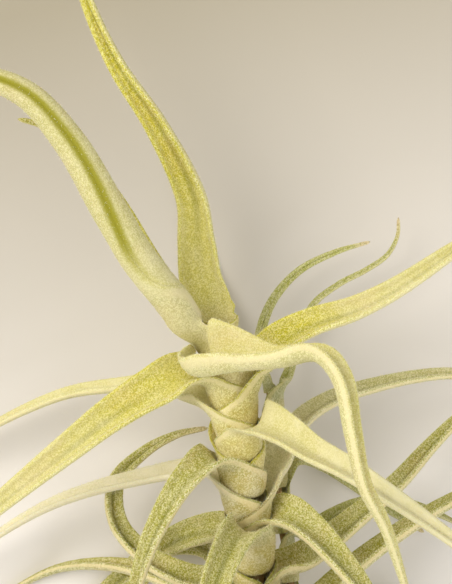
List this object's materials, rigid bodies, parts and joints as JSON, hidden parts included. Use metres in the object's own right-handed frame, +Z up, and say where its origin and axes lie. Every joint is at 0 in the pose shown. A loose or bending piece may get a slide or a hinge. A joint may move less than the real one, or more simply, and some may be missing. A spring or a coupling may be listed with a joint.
{
  "type": "tillandsia paleacea air plant",
  "caption": "Long-stemmed silvery air plant lying on its curled leaves: channelled tapering blades clasp a slim curved stem, with a thin side shoot behind.",
  "frame": {"origin": "on the table top, below the middle of the plant's bounding box", "axes": "+Z is up from the table that the plant lies on. +Y runs along the main stem towards its growing tip, and is the plant's longest extent. +X is to the right of someone who looks down on the plant with its tip away from them."},
  "size_m": [0.111, 0.1426, 0.0746],
  "materials": {
    "leaf_young": "matte",
    "leaf_grown": "matte",
    "leaf_side": "matte",
    "leaf_dry": "matte",
    "stem": "matte"
  },
  "bodies": {
    "root": {"leaf_01": "leaf_young", "leaf_02": "leaf_young", "leaf_03": "leaf_young", "leaf_04": "leaf_young", "leaf_05": "leaf_young", "leaf_06": "leaf_young", "leaf_07": "leaf_young", "leaf_08": "leaf_young", "leaf_09": "leaf_young", "leaf_10": "leaf_grown", "leaf_11": "leaf_grown", "leaf_12": "leaf_grown", "leaf_13": "leaf_grown", "leaf_14": "leaf_grown", "leaf_15": "leaf_grown", "leaf_16": "leaf_grown", "leaf_17": "leaf_grown", "leaf_18": "leaf_grown", "leaf_19": "leaf_grown", "leaf_20": "leaf_grown", "leaf_21": "leaf_grown", "leaf_22": "leaf_grown", "leaf_23": "leaf_grown", "leaf_24": "leaf_grown", "leaf_25": "leaf_dry", "leaf_26": "leaf_dry", "leaf_27": "leaf_dry", "side_leaf_1": "leaf_side", "side_leaf_2": "leaf_side", "side_leaf_3": "leaf_side", "side_leaf_4": "leaf_side", "side_leaf_5": "leaf_side", "side_leaf_6": "leaf_side", "side_stem": "stem", "stem": "stem"}
  },
  "joints": []
}
